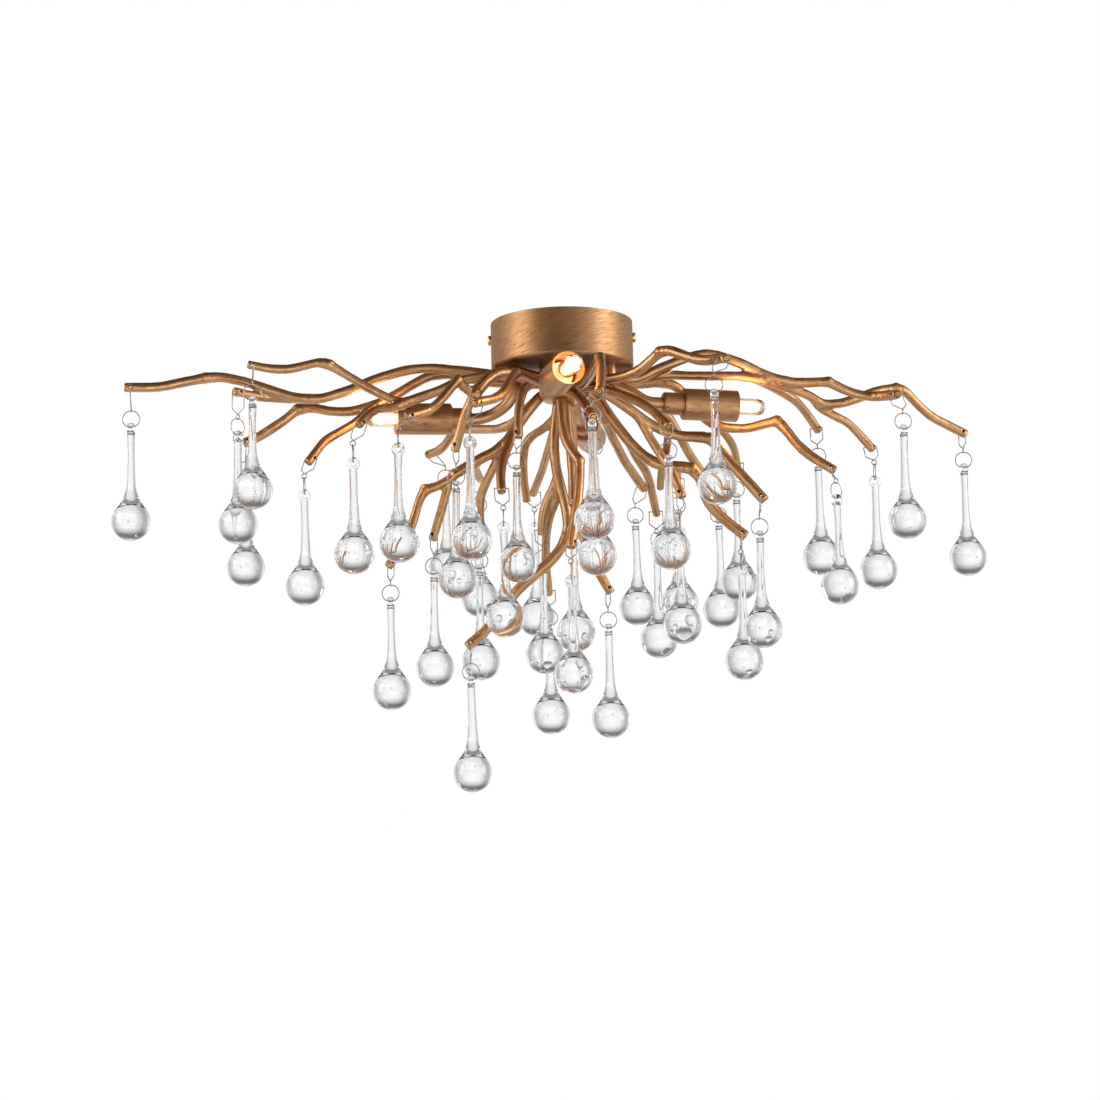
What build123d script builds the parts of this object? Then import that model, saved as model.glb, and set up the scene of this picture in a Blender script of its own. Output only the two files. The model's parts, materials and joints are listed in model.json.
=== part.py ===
from build123d import *
import math
import os

# A flush mount ceiling light: a drawn steel canopy, a welded bush of bent steel rods,
# four capsule lamps on bent arms, and glass drops that swing on rings below the rod tips.
# Millimetres, +Z up. The origin is the centre of the ceiling face, and the front looks along -Y.

# Canopy, a cup that is open towards the ceiling
CANOPY_R = 60.0
CANOPY_H = 40.0
CANOPY_WALL = 1.2
CANOPY_EDGE_R = 3.0
SIDE_SCREW_Z = -13.0
SIDE_SCREW_HOLE_R = 2.2

# Bracket against the ceiling, with two slots, two end tabs and an earth lug
BRACKET_X = 115.0
BRACKET_Y = 20.0
BRACKET_T = 2.0
BRACKET_TAB_H = 20.0
SLOT_SPACING = 80.0
SLOT_LENGTH = 14.0
SLOT_R = 2.25
LUG_X = -22.0
LUG_H = 14.0
LUG_W = 10.0

# Brass screws, all alike
SCREW_R = 2.0
SCREW_LENGTH = 7.0
SCREW_HEAD_R = 4.3
SCREW_HEAD_H = 2.6
SCREW_SLOT_W = 0.9

# Core that the rods are welded to, its threaded tube, and the nuts on the canopy's floor
HUB_R = 20.0
HUB_H = 27.0
HUB_EDGE_R = 6.0
HUB_BORE_DEPTH = 14.0
NIPPLE_R = 5.0
NIPPLE_BORE_R = 3.5
NIPPLE_TOP_Z = -27.0
NUT_ACROSS_FLATS = 14.0
NUT_H = 4.0
WASHER_R = 10.0
WASHER_T = 1.0

# Terminal block and the leads from it
BLOCK_X = 30.0
BLOCK_Y = 14.0
BLOCK_Z = 12.0
BLOCK_POLE_R = 2.0
LEAD_R = 0.9
LEAD_BEND_R = 2.4

# Lamps: cup, collar, lampholder and capsule bulb share one axis
ARM_R = NIPPLE_R
ARM_BORE_R = 3.6
ARM_TOP_Z = -32.0
ARM_STRAIGHT_L = 14.0
CUP_R = 13.3
CUP_L = 47.0
CUP_WALL = 1.0
COLLAR_R = 9.5
COLLAR_L = 17.0
HOLDER_R = 10.5
HOLDER_L = 20.0
BULB_R = 7.0
BULB_L = 48.0
BULB_PINCH_L = 9.0
PIN_R = 0.6
PIN_SPACING = 9.0
PIN_L = 8.0

# Wire goods that join each drop to its rod tip
TIP_HOLE_R = 1.1
TIP_HOLE_INSET = 5.0
CLIP_WIRE_R = 0.45
CLIP_HALF_W = 6.0
CLIP_LOOP_R = 2.1
CLIP_ELBOW = 0.7
CLIP_ELBOW_R = 2.0
RING_R = 7.05
RING_WIRE_R = 0.45

# Glass drop, measured up from the centre of its ball
BALL_R = 16.0
SHOULDER_ANGLE = 40.0
BAND_R = 7.2
BAND_UP = 17.4
THROAT_R = 5.1
THROAT_UP = 25.0
NECK_R = 4.1
NECK_UP = 34.0
NECK_TOP_R = 3.2
EYE_R = 5.2
EYE_T = 6.2
EYE_EDGE_R = 1.6
EYE_HOLE_R = 1.9
EYE_FLARE_R = 3.2
HANG_GAP = 0.25
WIRE_PLAY = 0.05

# Every knuckle of a rod is a weld, a little wider than the rod
KNUCKLE_SCALE = 1.13
RUN_SHARE = 0.45
BEND_R_MAX = 90.0

# Rods by cluster: rod name, radius, drop that it carries or 0, and its route by hand.
# Each route starts inside the core or inside the rod that it is welded to.
LEFT_RODS = [
    ("long_bough", 4.2, 1, [
        (-9, -3, -48), (-53, -12, -46), (-82, -13, -42), (-111, -16, -39), (-132, -18, -41),
        (-157, -21, -49), (-180, -23, -59), (-203, -25, -66), (-222, -27, -65), (-242, -29, -59),
        (-265, -32, -51), (-285, -34, -47), (-297, -35, -48), (-318, -37, -52), (-336, -39, -56),
        (-364, -42, -56)]),
    ("long_bough_twig", 3.6, 2, [
        (-205, -24, -65), (-222, -25, -66), (-240, -24, -64), (-253, -28, -64), (-263, -38, -63),
        (-271, -52, -64)]),
    ("rear_bough", 4.2, 4, [
        (-9, 8, -50), (-62, 14, -46), (-98, 16, -37), (-113, 17, -38), (-127, 18, -45),
        (-141, 19, -53), (-158, 20, -61), (-180, 22, -67), (-198, 23, -66), (-214, 24, -62),
        (-226, 25, -63), (-237, 25, -72), (-250, 26, -80), (-260, 27, -86), (-273, 28, -91)]),
    ("rear_bough_twig", 3.8, 5, [
        (-159, 18, -62), (-167, 16, -69), (-175, 12, -78), (-186, 6, -86), (-201, -1, -96),
        (-209, -6, -108), (-215, -10, -117)]),
]

FRONT_RODS = [
    ("left_bough", 4.2, 0, [
        (-7, -8, -54), (-48, -24, -48), (-69, -33, -52), (-84, -39, -56), (-102, -48, -66),
        (-133, -62, -80)]),
    ("left_bough_upper_twig", 3.7, 3, [
        (-126, -60, -77), (-134, -62, -79), (-144, -64, -75), (-160, -67, -67), (-175, -70, -58),
        (-191, -73, -48), (-200, -74, -46), (-213, -77, -50), (-225, -79, -53), (-241, -81, -52),
        (-257, -84, -49)]),
    ("left_bough_lower_twig", 3.7, 6, [
        (-126, -60, -77), (-135, -64, -82), (-143, -75, -86), (-152, -88, -90), (-159, -100, -98),
        (-165, -112, -108)]),
    ("thick_stem", 5.0, 0, [
        (-7, -11, -53), (-40, -34, -48), (-55, -46, -52), (-65, -56, -62), (-73, -66, -74)]),
    ("thick_stem_upper_twig", 3.8, 7, [
        (-67, -60, -66), (-76, -66, -72), (-82, -73, -69), (-86, -79, -65), (-92, -87, -74),
        (-99, -97, -85), (-106, -105, -94), (-112, -112, -98), (-127, -126, -105)]),
    ("thick_stem_lower_twig", 3.8, 11, [
        (-72, -64, -70), (-75, -61, -76), (-81, -55, -87), (-84, -50, -96), (-91, -40, -116)]),
    ("hooked_bough", 3.9, 10, [
        (-4, -12, -57), (-23, -60, -62), (-33, -90, -64), (-38, -105, -66), (-43, -120, -76),
        (-48, -141, -91), (-55, -157, -99), (-63, -173, -104), (-70, -188, -109)]),
    ("arched_bough", 3.9, 22, [
        (4, -11, -60), (17, -60, -66), (23, -95, -65), (29, -134, -62), (30, -147, -74),
        (29, -162, -89), (27, -178, -100)]),
    ("short_bough", 3.9, 23, [
        (3, -10, -58), (11, -45, -71), (18, -85, -90), (23, -122, -108)]),
    ("right_low_bough", 4.0, 27, [
        (7, -10, -56), (31, -33, -64), (48, -52, -74), (62, -67, -84), (72, -79, -94),
        (84, -98, -112)]),
    ("right_high_bough", 4.2, 30, [
        (7, -11, -54), (35, -30, -56), (51, -40, -56), (64, -49, -53), (80, -62, -41),
        (88, -67, -41), (104, -77, -50), (113, -83, -54), (121, -91, -56), (127, -101, -57),
        (131, -114, -60)]),
]

RIGHT_RODS = [
    ("upper_bough", 4.2, 38, [
        (9, -2, -50), (64, 1, -49), (78, 4, -41), (104, 9, -30), (117, 11, -26), (129, 13, -26),
        (151, 17, -33), (168, 21, -41), (181, 23, -46), (194, 25, -49), (209, 28, -49),
        (227, 31, -48), (237, 33, -53), (249, 35, -58), (263, 35, -61), (274, 28, -62),
        (280, 18, -64), (282, 5, -66)]),
    ("middle_bough", 4.0, 0, [
        (9, 2, -51), (65, 9, -49), (87, 12, -43), (108, 14, -44), (151, 19, -44), (173, 22, -47)]),
    ("middle_bough_twig", 3.8, 35, [
        (161, 20, -45), (176, 35, -49), (190, 50, -53), (201, 60, -57), (211, 74, -65),
        (223, 92, -78)]),
    ("outer_bough", 4.0, 39, [
        (168, 21, -46), (185, 28, -51), (199, 33, -54), (212, 37, -59), (222, 42, -65),
        (238, 47, -64), (254, 53, -58), (273, 60, -50), (289, 66, -47), (297, 68, -49),
        (308, 74, -60), (320, 80, -70), (352, 92, -84)]),
    ("outer_bough_twig", 3.7, 37, [
        (214, 41, -60), (220, 47, -67), (234, 51, -74), (245, 55, -79), (253, 58, -87),
        (267, 64, -102)]),
    ("low_bough", 4.6, 33, [
        (9, 6, -51), (29, 7, -62), (39, 7, -79), (55, 8, -102), (67, 9, -114), (80, 9, -122),
        (95, 9, -123), (107, 10, -125), (114, 10, -133), (117, 11, -147), (124, 11, -160),
        (136, 11, -172), (151, 12, -184)]),
    ("low_bough_twig", 3.7, 26, [
        (53, 8, -98), (60, 24, -110), (69, 39, -120), (73, 51, -129), (79, 78, -152)]),
    ("drooping_bough", 4.4, 34, [
        (8, -8, -52), (33, -22, -64), (51, -20, -76), (67, -16, -88), (82, -14, -97),
        (97, -13, -102), (111, -15, -103), (122, -16, -105), (131, -17, -117), (144, -19, -134),
        (165, -22, -160)]),
    ("drooping_bough_twig", 3.8, 28, [
        (59, -18, -82), (65, -16, -90), (72, -15, -104), (82, -16, -121), (90, -18, -135),
        (97, -22, -156)]),
    ("bare_twig", 3.5, 0, [(87, -12, -97), (87, 6, -106), (82, 28, -122), (81, 38, -137)]),
    ("low_bough_back_twig", 3.4, 29, [(94, 9, -123), (96, 26, -124), (96, 46, -128)]),
]

REAR_RODS = [
    ("left_rear_bough", 4.0, 40, [
        (-6, 10, -56), (-24, 33, -58), (-35, 53, -65), (-45, 69, -71), (-57, 82, -72),
        (-78, 107, -66), (-95, 124, -62), (-101, 134, -68), (-106, 142, -73), (-112, 150, -76),
        (-122, 165, -76)]),
    ("left_low_stem", 4.6, 0, [
        (-6, 6, -57), (-19, 6, -60), (-31, 7, -74), (-39, 8, -85), (-48, 8, -98), (-57, 9, -106),
        (-75, 9, -115), (-94, 10, -126)]),
    ("left_low_twig", 3.8, 9, [
        (-92, 10, -123), (-97, 12, -132), (-101, 13, -142), (-105, 16, -156), (-113, 20, -180)]),
    ("left_hanging_twig", 3.9, 8, [
        (-87, 10, -122), (-98, 10, -130), (-109, 10, -136), (-118, 9, -138), (-123, 9, -147),
        (-128, 9, -164), (-135, 8, -182), (-150, 8, -204)]),
    ("front_hanging_twig", 4.0, 13, [
        (-43, 8, -90), (-47, 1, -104), (-52, -6, -117), (-54, -14, -132), (-53, -22, -148)]),
    ("steep_twig", 3.8, 14, [
        (-52, 9, -102), (-58, 15, -115), (-66, 21, -129), (-72, 27, -141), (-73, 32, -154),
        (-72, 40, -172)]),
    ("short_back_twig", 3.5, 12, [(-70, 10, -113), (-77, 36, -114), (-73, 84, -116)]),
    ("centre_rear_bough", 4.0, 25, [
        (6, 10, -50), (16, 25, -55), (29, 45, -63), (36, 58, -71), (40, 71, -79), (46, 84, -88),
        (54, 104, -100), (71, 135, -118)]),
    ("right_rear_bough", 4.0, 31, [
        (8, 10, -48), (32, 29, -50), (58, 47, -52), (75, 59, -56), (91, 72, -65),
        (110, 98, -95), (120, 110, -108), (136, 125, -123)]),
    ("right_long_bough", 4.2, 36, [
        (8, 12, -49), (66, 34, -46), (81, 40, -43), (96, 45, -44), (109, 52, -56), (122, 50, -75),
        (136, 49, -82), (156, 48, -84), (173, 46, -80), (183, 45, -78), (191, 44, -87),
        (199, 43, -99), (210, 42, -110), (231, 40, -124)]),
    ("right_long_bough_twig", 3.4, 32, [
        (131, 50, -80), (141, 62, -87), (148, 76, -95), (151, 90, -109)]),
]

CENTRE_RODS = [
    ("lowest_bough", 4.4, 15, [
        (-2, 4, -53), (-5, 6, -71), (-8, 7, -90), (-9, 8, -107), (-7, 10, -124), (-3, 11, -142),
        (1, 13, -158), (2, 14, -173), (-3, 13, -188), (-14, 12, -202), (-28, 12, -213),
        (-40, 11, -223), (-53, 10, -239), (-67, 7, -258), (-85, 5, -273)]),
    ("short_twig", 3.6, 0, [
        (-5, 10, -75), (-15, 19, -85), (-27, 26, -90), (-33, 32, -96), (-35, 39, -108),
        (-35, 49, -124), (-33, 60, -141)]),
    ("back_twig", 3.6, 17, [(-7, 12, -84), (-13, 50, -96), (-19, 85, -108), (-28, 125, -122)]),
    ("front_fork", 3.7, 18, [
        (-6, 10, -127), (-10, 15, -138), (-17, 20, -150), (-20, 24, -162), (-21, 29, -176)]),
    ("back_fork", 3.9, 19, [
        (-4, 11, -137), (-8, 19, -147), (-14, 29, -159), (-17, 39, -174), (-18, 53, -195),
        (-16, 70, -221)]),
    ("straight_bough", 3.8, 21, [
        (3, 6, -54), (3, 4, -75), (6, 0, -126), (6, -2, -157)]),
    ("knuckled_bough", 4.4, 20, [
        (-3, -9, -57), (-1, -17, -93), (3, -20, -109), (12, -23, -123),
        (12, -26, -136), (10, -30, -157), (3, -38, -199)]),
    ("long_straight_bough", 3.9, 24, [
        (3, 11, -52), (7, 18, -79), (9, 27, -134), (12, 32, -167), (19, 36, -194), (37, 42, -225)]),
    ("front_twig", 3.9, 16, [
        (-6, -12, -56), (-23, -30, -57), (-33, -36, -63), (-36, -38, -73), (-38, -41, -89),
        (-38, -44, -107)]),
]

CLUSTERS = {
    "front_boughs": FRONT_RODS,
    "left_boughs": LEFT_RODS,
    "right_boughs": RIGHT_RODS,
    "rear_boughs": REAR_RODS,
    "centre_boughs": CENTRE_RODS,
}

# Welded knuckles: cluster, rod and the number of the point on its route
KNUCKLES = [
    ("left_boughs", "long_bough", 12), ("left_boughs", "rear_bough", 10),
    ("front_boughs", "left_bough", 5), ("front_boughs", "left_bough_upper_twig", 5),
    ("front_boughs", "thick_stem", 4), ("front_boughs", "thick_stem_upper_twig", 3),
    ("front_boughs", "hooked_bough", 3), ("front_boughs", "arched_bough", 3),
    ("front_boughs", "right_high_bough", 4), ("right_boughs", "upper_bough", 11),
    ("right_boughs", "middle_bough", 5), ("right_boughs", "outer_bough", 8),
    ("right_boughs", "low_bough", 7), ("right_boughs", "drooping_bough", 7),
    ("rear_boughs", "left_hanging_twig", 3), ("rear_boughs", "right_long_bough", 9),
    ("rear_boughs", "centre_rear_bough", 3), ("centre_boughs", "knuckled_bough", 3),
]

# Glass drops: number, ball centre, ring centre above it, and how far the ring is turned
DROPS = [
    (1, (-358, -41, -169), 86, 0), (2, (-269, -48, -175), 82, 45), (3, (-253, -83, -153), 81, 0),
    (4, (-271, 28, -198), 84, 0), (5, (-218, -8, -221), 85, 90), (6, (-170, -108, -212), 82, 90),
    (7, (-133, -123, -206), 84, 90), (8, (-148, 8, -308), 82, 0), (9, (-112, 19, -288), 86, 0),
    (10, (-74, -184, -216), 85, 90), (11, (-90, -42, -223), 85, 0), (12, (-75, 79, -221), 82, 0),
    (13, (-52, -20, -253), 84, 90), (14, (-74, 38, -281), 86, 0), (15, (-82, 5, -378), 84, 0),
    (16, (-40, -43, -211), 85, 0), (17, (-27, 120, -233), 88, 90), (18, (-20, 27, -278), 82, 0),
    (19, (-16, 67, -325), 84, 0), (20, (3, -37, -303), 85, 90), (21, (6, -2, -264), 86, 45),
    (22, (21, -173, -200), 83, 0), (23, (23, -118, -219), 88, 0), (24, (34, 41, -332), 84, 0),
    (25, (62, 131, -224), 82, 0), (26, (78, 74, -261), 86, 45), (27, (83, -95, -212), 81, 0),
    (28, (94, -21, -262), 85, 90), (29, (95, 41, -235), 84, 0), (30, (121, -106, -162), 82, 0),
    (31, (135, 122, -229), 84, 0), (32, (149, 87, -211), 82, 0), (33, (146, 12, -289), 84, 90),
    (34, (160, -22, -267), 85, 0), (35, (221, 88, -190), 89, 0), (36, (231, 40, -223), 82, 45),
    (37, (267, 63, -207), 86, 90), (38, (287, 12, -173), 85, 0), (39, (348, 90, -193), 86, 0),
    (40, (-106, 161, -180), 82, 0),
]

# Tip holes that aren't square to their rod: drop number and the hole's heading seen from above
HOLE_HEADINGS = {5: -25, 8: 120, 11: 70, 16: 60, 21: 90, 37: 150}

# Lamps: name, centre of the cup's mouth, heading, downward tilt, and the arm's way from the canopy
LAMPS = [
    ("left", (-141, -6, -80), 192.0, 1.0, [(-41, 1), (-41, 1, -64)]),
    ("right", (146, 7, -73), 12.0, 1.0, [(40, -12), (40, -12, -56), (58, -10, -63)]),
    ("front", (4, -140, -71), 284.0, 0.5, [(-4, -42), (-4, -42, -60)]),
    ("rear", (25, 143, -69), 82.0, 1.0, [(8, 42), (8, 42, -58)]),
]

# Leads: each from its pole in the terminal block into the top of an arm
LEADS = [
    [(20, -2, -8), (20, -14, -8), (-10, -18, -18), (-41, -4, -22), (-41, 1, -30), (-41, 1, -38)],
    [(30, -2, -8), (30, -13, -8), (40, -13, -16), (40, -12, -38)],
    [(10, -2, -8), (10, -14, -8), (0, -38, -16), (-4, -42, -26), (-4, -42, -38)],
    [(10, 2, -8), (10, 14, -8), (8, 38, -16), (8, 42, -24), (8, 42, -38)],
]


def corner_radii(points, tube_radius):
    # Each arc is as large as its two runs allow
    radii = []
    for before, here, after in zip(points, points[1:], points[2:]):
        shorter = min((here - before).length, (after - here).length)
        half_turn = math.radians((here - before).get_angle(after - here)) / 2
        widest = min(RUN_SHARE * shorter / math.tan(half_turn), BEND_R_MAX)
        radii.append(max(widest, 1.05 * tube_radius))
    return radii


def tube_path(route, tube_radius):
    points = [Vector(*point) for point in route]
    return FilletPolyline(*points, radius=corner_radii(points, tube_radius))


def rod(route, radius):
    path = tube_path(route, radius)
    return sweep(Plane(origin=path @ 0, z_dir=path % 0) * Circle(radius), path=path)


def rod_along(route, radius, corner_radius):
    path = FilletPolyline(*[Vector(*point) for point in route], radius=corner_radius)
    return sweep(Plane(origin=path @ 0, z_dir=path % 0) * Circle(radius), path=path)


def cylinder_between(start, end, radius):
    axis = Vector(*end) - Vector(*start)
    middle = (Vector(*start) + Vector(*end)) * 0.5
    return Plane(origin=middle, z_dir=axis) * Cylinder(radius, axis.length)


def solids_of(shape):
    return Compound(children=list(shape.solids()))


def ring(centre, normal, mean_radius, wire_radius):
    return Plane(origin=centre, z_dir=normal) * Torus(mean_radius, wire_radius)


def yawed(degrees):
    # The level direction of a ring's wire at its lowest point
    angle = math.radians(degrees)
    return Vector(math.cos(angle), math.sin(angle), 0)


# Canopy and what it holds

def make_canopy():
    outer = Pos(0, 0, -CANOPY_H / 2) * Cylinder(CANOPY_R, CANOPY_H)
    outer = fillet(outer.edges().group_by(Axis.Z)[0], CANOPY_EDGE_R)
    inner_h = CANOPY_H - CANOPY_WALL
    inner = Pos(0, 0, -inner_h / 2) * Cylinder(CANOPY_R - CANOPY_WALL, inner_h)
    inner = fillet(inner.edges().group_by(Axis.Z)[0], CANOPY_EDGE_R - CANOPY_WALL)
    cup = outer - inner
    for x, y in [(0, 0)] + [lamp[4][0] for lamp in LAMPS]:
        cup -= Pos(x, y, -CANOPY_H) * Cylinder(NIPPLE_R, 4 * CANOPY_WALL)
    screw_hole = Pos(0, 0, SIDE_SCREW_Z) * Rot(0, 90, 0) * Cylinder(SIDE_SCREW_HOLE_R, 3 * CANOPY_R)
    return cup - screw_hole


def make_bracket():
    web = Pos(0, 0, -BRACKET_T / 2) * Box(BRACKET_X, BRACKET_Y, BRACKET_T)
    tab = Box(BRACKET_T, BRACKET_Y, BRACKET_TAB_H)
    tab_x = (BRACKET_X - BRACKET_T) / 2
    body = web
    for side in (-1, 1):
        body += Pos(side * tab_x, 0, -BRACKET_TAB_H / 2) * tab
    body += Pos(LUG_X, 0, -LUG_H / 2) * Box(BRACKET_T, LUG_W, LUG_H)
    slot = extrude(SlotCenterToCenter(SLOT_LENGTH - 2 * SLOT_R, 2 * SLOT_R), 2 * BRACKET_T, both=True)
    for side in (-1, 1):
        body -= Pos(side * SLOT_SPACING / 2, 0, 0) * slot
    screw_way = Pos(0, 0, SIDE_SCREW_Z) * Rot(0, 90, 0) * Cylinder(SCREW_R, BRACKET_X + 2)
    lug_way = Pos(LUG_X, 0, -LUG_H + 5) * Rot(0, 90, 0) * Cylinder(SCREW_R, 3 * BRACKET_T)
    tabs_only = Pos(0, 0, SIDE_SCREW_Z) * (Box(BRACKET_X + 4, 10, 10) - Box(BRACKET_X - 10, 12, 12))
    return body - (screw_way & tabs_only) - lug_way


def screw():
    # Head towards +Z, its seat at z = 0
    head = Pos(0, 0, SCREW_HEAD_H / 2) * Cylinder(SCREW_HEAD_R, SCREW_HEAD_H)
    head = fillet(head.edges().group_by(Axis.Z)[-1], SCREW_HEAD_H * 0.7)
    head -= Pos(0, 0, SCREW_HEAD_H) * Box(2 * SCREW_HEAD_R, SCREW_SLOT_W, SCREW_HEAD_H)
    return head + Pos(0, 0, -SCREW_LENGTH / 2) * Cylinder(SCREW_R, SCREW_LENGTH)


def make_screws():
    right = Pos(CANOPY_R, 0, SIDE_SCREW_Z) * Rot(0, 90, 0) * screw()
    left = Pos(-CANOPY_R, 0, SIDE_SCREW_Z) * Rot(0, -90, 0) * screw()
    earth = Pos(LUG_X - BRACKET_T / 2, 0, -LUG_H + 5) * Rot(0, -90, 0) * screw()
    return Compound(children=[right, left, earth])


def hub_blank():
    core = Pos(0, 0, -CANOPY_H - HUB_H / 2) * Cylinder(HUB_R, HUB_H)
    return fillet(core.edges().group_by(Axis.Z)[0], HUB_EDGE_R)


def make_hub():
    bore = Pos(0, 0, -CANOPY_H - HUB_BORE_DEPTH / 2) * Cylinder(NIPPLE_R, HUB_BORE_DEPTH)
    return hub_blank() - bore


def make_nipple():
    bottom_z = -CANOPY_H - HUB_BORE_DEPTH
    length = NIPPLE_TOP_Z - bottom_z
    middle = Pos(0, 0, bottom_z + length / 2)
    return middle * (Cylinder(NIPPLE_R, length) - Cylinder(NIPPLE_BORE_R, length))


def make_nuts():
    # One on the threaded tube and one on each arm, all alike
    floor_z = -CANOPY_H + CANOPY_WALL
    washer = Pos(0, 0, floor_z) * extrude(Circle(WASHER_R), WASHER_T)
    hexagon = RegularPolygon(NUT_ACROSS_FLATS / 2, 6, major_radius=False)
    nut = Pos(0, 0, floor_z + WASHER_T) * extrude(hexagon, NUT_H)
    nut = washer + nut - Pos(0, 0, floor_z) * Cylinder(NIPPLE_R, 4 * NUT_H)
    places = [(0, 0)] + [lamp[4][0] for lamp in LAMPS]
    return Compound(children=[Pos(x, y, 0) * nut for x, y in places])


def make_terminal_block():
    block = Pos(20, 0, -BRACKET_T - BLOCK_Z / 2) * Box(BLOCK_X, BLOCK_Y, BLOCK_Z)
    block = fillet(block.edges().filter_by(Axis.Z), 1.5)
    for step in (-1, 0, 1):
        way = Pos(20 + step * BLOCK_X / 3, 0, -BRACKET_T - BLOCK_Z / 2) * Rot(90, 0, 0)
        block -= way * Cylinder(BLOCK_POLE_R, 2 * BLOCK_Y)
    return block


def make_leads():
    return Compound(children=[rod_along(route, LEAD_R, LEAD_BEND_R) for route in LEADS])


# Lamps

def lamp_plane(mouth, heading, tilt):
    # +Z of this plane runs out of the cup's mouth, and its origin is the mouth's centre
    level = math.radians(heading)
    down = math.radians(tilt)
    out = Vector(math.cos(level) * math.cos(down), math.sin(level) * math.cos(down), -math.sin(down))
    return Plane(origin=mouth, x_dir=out.cross(Vector(0, 0, 1)), z_dir=out)


def make_cup():
    shell = Pos(0, 0, -CUP_L / 2) * Cylinder(CUP_R, CUP_L)
    shell = fillet(shell.edges().group_by(Axis.Z)[0], 1.5)
    shell -= Pos(0, 0, -(CUP_L - CUP_WALL) / 2) * Cylinder(CUP_R - CUP_WALL, CUP_L - CUP_WALL)
    return shell - Pos(0, 0, -CUP_L) * Cylinder(ARM_R, 4 * CUP_WALL)


def make_collar():
    sleeve = Pos(0, 0, -CUP_L - COLLAR_L / 2) * Cylinder(COLLAR_R, COLLAR_L)
    sleeve = chamfer(sleeve.edges().group_by(Axis.Z)[0], 1.2)
    return sleeve - Pos(0, 0, -CUP_L - COLLAR_L / 2) * Cylinder(ARM_R, COLLAR_L)


def make_holder():
    base_z = -CUP_L + CUP_WALL
    body = Pos(0, 0, base_z + HOLDER_L / 2) * Cylinder(HOLDER_R, HOLDER_L)
    body = chamfer(body.edges().group_by(Axis.Z)[-1], 1.5)
    for side in (-1, 1):
        pin_way = Pos(side * PIN_SPACING / 2, 0, base_z + HOLDER_L - PIN_L / 2)
        body -= pin_way * Cylinder(PIN_R, PIN_L)
    return body


def make_bulb():
    base_z = -CUP_L + CUP_WALL + HOLDER_L
    pinch = Pos(0, 0, base_z + BULB_PINCH_L / 2) * Box(1.9 * BULB_R, 0.75 * BULB_R, BULB_PINCH_L)
    barrel_l = BULB_L - BULB_PINCH_L
    barrel = Pos(0, 0, base_z + BULB_PINCH_L + barrel_l / 2) * Cylinder(BULB_R, barrel_l)
    barrel = fillet(barrel.edges().group_by(Axis.Z)[-1], 0.9 * BULB_R)
    barrel = fillet(barrel.edges().group_by(Axis.Z)[0], 0.3 * BULB_R)
    bulb = pinch + barrel
    for side in (-1, 1):
        pin = Pos(side * PIN_SPACING / 2, 0, base_z - PIN_L / 2 + 0.5)
        bulb += pin * Cylinder(PIN_R, PIN_L + 1)
    return bulb


def make_arm(plane, way):
    # From inside the canopy, down through its floor and on into the collar, bored for the lead
    entry = plane.origin - plane.z_dir * (CUP_L + COLLAR_L + ARM_STRAIGHT_L)
    end = plane.origin - plane.z_dir * CUP_L
    points = [Vector(*way[0], ARM_TOP_Z)] + [Vector(*point) for point in way[1:]] + [entry, end]
    path = FilletPolyline(*points, radius=corner_radii(points, ARM_R))
    section = Plane(origin=path @ 0, z_dir=path % 0) * (Circle(ARM_R) - Circle(ARM_BORE_R))
    return sweep(section, path=path)


# Welded rods

def tip_hole(route, drop):
    # Centre of the cross hole near the rod's tip, and the level direction that it runs in
    tip = Vector(*route[-1])
    along = (tip - Vector(*route[-2])).normalized()
    centre = tip - along * TIP_HOLE_INSET
    across = Vector(-along.Y, along.X, 0).normalized()
    if drop in HOLE_HEADINGS:
        heading = math.radians(HOLE_HEADINGS[drop])
        across = Vector(math.cos(heading), math.sin(heading), 0)
    return centre, across


def make_cluster(name, rods):
    cluster = None
    for rod_name, radius, drop, route in rods:
        piece = rod(route, radius)
        if drop:
            centre, across = tip_hole(route, drop)
            piece -= Plane(origin=centre, z_dir=across) * Cylinder(TIP_HOLE_R, 4 * radius)
        for knuckle_cluster, knuckle_rod, number in KNUCKLES:
            if (knuckle_cluster, knuckle_rod) == (name, rod_name):
                along = Vector(*route[number]) - Vector(*route[number - 1])
                knuckle = Sphere(KNUCKLE_SCALE * radius)
                piece += Plane(origin=route[number], z_dir=along) * knuckle
        cluster = piece if cluster is None else cluster + piece
    return cluster


# Glass drops and their wire goods

def ring_centre(ball, ring_up):
    return Vector(*ball) + Vector(0, 0, ring_up)


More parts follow.
